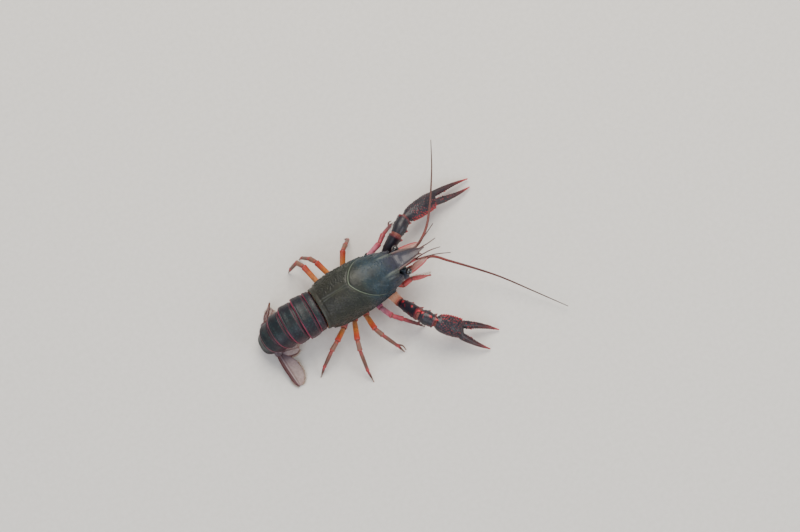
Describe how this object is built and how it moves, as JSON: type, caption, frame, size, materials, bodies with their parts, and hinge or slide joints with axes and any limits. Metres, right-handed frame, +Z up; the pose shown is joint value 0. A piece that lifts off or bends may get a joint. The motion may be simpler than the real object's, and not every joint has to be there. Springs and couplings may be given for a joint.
{
  "type": "red swamp crayfish model",
  "caption": "Still life-size model of a red swamp crayfish standing on its legs, tail curled under, claws reaching forward to the floor and long feelers spread ahead.",
  "frame": {"origin": "centre of the bounding box at floor level", "axes": "+X towards the head, +Y towards the animal's left, +Z up"},
  "size_m": [0.1224, 0.0908, 0.0277],
  "materials": {
    "dark_shell": "chitin shell, dark olive slate, satin",
    "tail_shell": "chitin shell, blue black with red rear edges, satin",
    "claw_shell": "chitin shell, near black with red tubercles, satin",
    "leg_shell": "thin chitin shell, orange to red, satin",
    "joint_skin": "soft joint skin and underside, peach, matte",
    "fan_shell": "thin chitin plate, dark red purple, satin",
    "feeler": "ringed chitin, brown red, satin",
    "eye": "black, wet gloss"
  },
  "bodies": {
    "root": {"antenna_base_left": "leg_shell", "antenna_base_right": "leg_shell", "antenna_left": "feeler", "antenna_right": "feeler", "antenna_scale_left": "leg_shell", "antenna_scale_right": "leg_shell", "antennule_left": "leg_shell", "antennule_right": "leg_shell", "carapace": "dark_shell", "cheliped_base_left": "joint_skin", "cheliped_base_right": "joint_skin", "cheliped_carpus_left": "claw_shell", "cheliped_carpus_right": "claw_shell", "cheliped_merus_left": "claw_shell", "cheliped_merus_right": "claw_shell", "claw_dactyl_left": "claw_shell", "claw_dactyl_right": "claw_shell", "claw_palm_left": "claw_shell", "claw_palm_right": "claw_shell", "eye_left": "eye", "eye_right": "eye", "eyestalk_left": "dark_shell", "eyestalk_right": "dark_shell", "face": "dark_shell", "leg_2_left_lower": "leg_shell", "leg_2_left_upper": "leg_shell", "leg_2_right_lower": "leg_shell", "leg_2_right_upper": "leg_shell", "leg_3_left_lower": "leg_shell", "leg_3_left_upper": "leg_shell", "leg_3_right_lower": "leg_shell", "leg_3_right_upper": "leg_shell", "leg_4_left_lower": "leg_shell", "leg_4_left_upper": "leg_shell", "leg_4_right_lower": "leg_shell", "leg_4_right_upper": "leg_shell", "leg_5_left_lower": "leg_shell", "leg_5_left_upper": "leg_shell", "leg_5_right_lower": "leg_shell", "leg_5_right_upper": "leg_shell", "maxilliped_left": "leg_shell", "maxilliped_right": "leg_shell", "somite_1": "tail_shell", "somite_2": "tail_shell", "somite_3": "tail_shell", "somite_4": "tail_shell", "somite_5": "tail_shell", "somite_6": "tail_shell", "sternum": "joint_skin", "telson": "fan_shell", "uropod_left": "fan_shell", "uropod_right": "fan_shell"}
  },
  "joints": []
}
